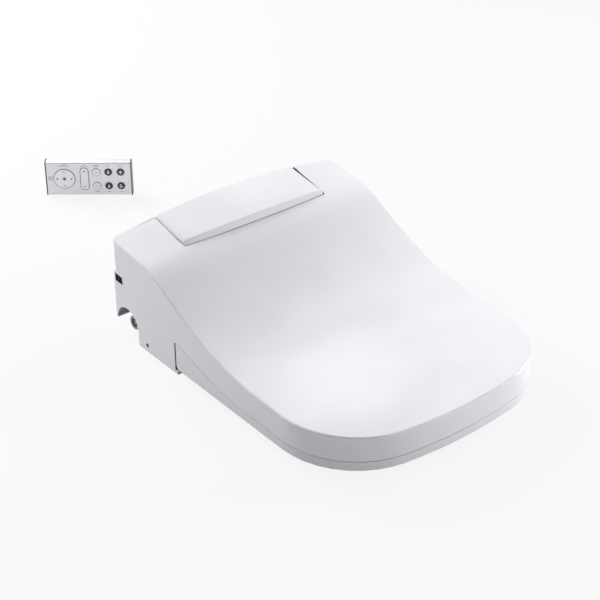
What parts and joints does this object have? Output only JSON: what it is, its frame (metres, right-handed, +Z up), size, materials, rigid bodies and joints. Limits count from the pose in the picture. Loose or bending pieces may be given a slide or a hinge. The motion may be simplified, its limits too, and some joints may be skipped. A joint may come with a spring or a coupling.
{
  "type": "electric bidet seat",
  "caption": "Electric bidet seat: rear housing with hinged lid and heated seat ring, retracting spray wands, warm air dryer, clip-on mounting plate and a separate remote control.",
  "frame": {"origin": "middle of the two fixing slots, on the underside of the mounting plate, which is the rim plane of the bowl", "axes": "+X to the right of a person facing the seat, -Y towards the front edge of the lid, +Z up"},
  "size_m": [0.384, 0.9157, 0.1638],
  "materials": {
    "shell": "gloss",
    "panel": "gloss",
    "seat": "gloss",
    "plastic": "satin",
    "black": "satin",
    "rubber": "matte",
    "steel": "satin",
    "board": "satin",
    "remote": "satin",
    "trim": "satin",
    "key": "satin",
    "darkKey": "satin"
  },
  "bodies": {
    "base": {"mounting_plate": "plastic", "base_tray": "plastic", "rear_case": "shell", "top_panel": "panel", "spray_guard": "plastic", "wand_cradle": "plastic", "water_inlet": "steel", "inlet_gasket": "black", "inlet_valve": "plastic", "water_pump": "black", "heater_tank": "plastic", "dryer_housing": "black", "control_board": "board", "switch_body": "black", "side_screw_right": "black", "side_screw_left": "black", "cord_gland": "black", "hinge_pin_right": "steel", "hinge_pin_left": "steel", "seat_damper": "black", "lid_damper": "black"},
    "left_adjuster": {"slot_adjuster_left": "black"},
    "right_adjuster": {"slot_adjuster_right": "black"},
    "rear_wand": {"rear_wand": "steel"},
    "front_wand": {"front_wand": "steel"},
    "impeller": {"dryer_impeller": "plastic"},
    "flap": {"dryer_flap": "plastic"},
    "rocker": {"power_rocker": "black"},
    "release": {"release_button": "key"},
    "seat": {"seat_top_shell": "seat", "seat_bottom_cover": "seat", "seat_buffer_back_right": "rubber", "seat_buffer_back_left": "rubber", "seat_buffer_front_right": "rubber", "seat_buffer_front_left": "rubber"},
    "lid": {"lid_shell": "shell", "lid_buffer_back_right": "rubber", "lid_buffer_back_left": "rubber", "lid_buffer_front_right": "rubber", "lid_buffer_front_left": "rubber"},
    "remote": {"remote_front_shell": "remote", "remote_back_shell": "remote", "keypad_board": "board", "cell_inner": "steel", "cell_outer": "steel", "end_trim_left": "trim", "end_trim_right": "trim"},
    "battery_cover": {"battery_cover": "remote"},
    "pad": {"pad_ring": "key"},
    "pad_centre": {"pad_centre_key": "darkKey"},
    "temperature_rocker": {"rocker_key": "key"},
    "pale_top": {"pale_key_top": "key"},
    "pale_bottom": {"pale_key_bottom": "key"},
    "dark_inner_top": {"dark_inner_key_top": "darkKey"},
    "dark_inner_bottom": {"dark_inner_key_bottom": "darkKey"},
    "dark_outer_top": {"dark_outer_key_top": "darkKey"},
    "dark_outer_bottom": {"dark_outer_key_bottom": "darkKey"}
  },
  "joints": [
    {"name": "seat_hinge", "type": "hinge", "parent": "base", "child": "seat", "pos_m": [0, 0.065, 0.126], "axis": [-1, 0, 0], "range_deg": [0, 95]},
    {"name": "lid_hinge", "type": "hinge", "parent": "seat", "child": "lid", "pos_m": [0, 0.065, 0.126], "axis": [1, 0, 0], "range_deg": [-95, 0]},
    {"name": "rear_wand_slide", "type": "slide", "parent": "base", "child": "rear_wand", "axis": [0, -0.9397, -0.342], "range_m": [0, 0.065]},
    {"name": "front_wand_slide", "type": "slide", "parent": "base", "child": "front_wand", "axis": [0, -0.9397, -0.342], "range_m": [0, 0.065]},
    {"name": "dryer_spin", "type": "hinge", "parent": "base", "child": "impeller", "pos_m": [0.069, 0.002, 0.042], "axis": [1, 0, 0], "continuous": true},
    {"name": "flap_hinge", "type": "hinge", "parent": "base", "child": "flap", "pos_m": [0.069, -0.0545, 0.041], "axis": [-1, 0, 0], "range_deg": [0, 70]},
    {"name": "power_rocker_hinge", "type": "hinge", "parent": "base", "child": "rocker", "pos_m": [-0.182, 0.0824, 0.0864], "axis": [0, 0, 1], "range_deg": [-14, 0]},
    {"name": "release_press", "type": "slide", "parent": "base", "child": "release", "axis": [-1, 0, 0], "range_m": [0, 0.004], "stiffness_N_per_m": 400, "springref_m": -0.002},
    {"name": "left_adjuster_turn", "type": "hinge", "parent": "base", "child": "left_adjuster", "pos_m": [-0.0775, 0, 0.004], "axis": [0, 0, 1], "range_deg": [-90, 90]},
    {"name": "right_adjuster_turn", "type": "hinge", "parent": "base", "child": "right_adjuster", "pos_m": [0.0775, 0, 0.004], "axis": [0, 0, 1], "range_deg": [-90, 90]},
    {"name": "remote_lift", "type": "slide", "parent": "base", "child": "remote", "axis": [0, 0, 1], "range_m": [0, 0.3]},
    {"name": "battery_cover_pull", "type": "slide", "parent": "remote", "child": "battery_cover", "axis": [0.6252, 0.7804, 0], "range_m": [0, 0.03]},
    {"name": "pad_press", "type": "slide", "parent": "remote", "child": "pad", "axis": [0.6252, 0.7804, 0], "range_m": [0, 0.0008], "stiffness_N_per_m": 500, "springref_m": -0.0008},
    {"name": "pad_centre_press", "type": "slide", "parent": "remote", "child": "pad_centre", "axis": [0.6252, 0.7804, 0], "range_m": [0, 0.0008], "stiffness_N_per_m": 500, "springref_m": -0.0008},
    {"name": "temperature_rock", "type": "hinge", "parent": "remote", "child": "temperature_rocker", "pos_m": [-0.00786, 0.46464, 0.0295], "axis": [0.7804, -0.6252, 0], "range_deg": [-2, 2], "stiffness_Nm_per_rad": 0.05},
    {"name": "pale_top_press", "type": "slide", "parent": "remote", "child": "pale_top", "axis": [0.6252, 0.7804, 0], "range_m": [0, 0.0008], "stiffness_N_per_m": 500, "springref_m": -0.0008},
    {"name": "pale_bottom_press", "type": "slide", "parent": "remote", "child": "pale_bottom", "axis": [0.6252, 0.7804, 0], "range_m": [0, 0.0008], "stiffness_N_per_m": 500, "springref_m": -0.0008},
    {"name": "dark_inner_top_press", "type": "slide", "parent": "remote", "child": "dark_inner_top", "axis": [0.6252, 0.7804, 0], "range_m": [0, 0.0008], "stiffness_N_per_m": 500, "springref_m": -0.0008},
    {"name": "dark_inner_bottom_press", "type": "slide", "parent": "remote", "child": "dark_inner_bottom", "axis": [0.6252, 0.7804, 0], "range_m": [0, 0.0008], "stiffness_N_per_m": 500, "springref_m": -0.0008},
    {"name": "dark_outer_top_press", "type": "slide", "parent": "remote", "child": "dark_outer_top", "axis": [0.6252, 0.7804, 0], "range_m": [0, 0.0008], "stiffness_N_per_m": 500, "springref_m": -0.0008},
    {"name": "dark_outer_bottom_press", "type": "slide", "parent": "remote", "child": "dark_outer_bottom", "axis": [0.6252, 0.7804, 0], "range_m": [0, 0.0008], "stiffness_N_per_m": 500, "springref_m": -0.0008}
  ]
}
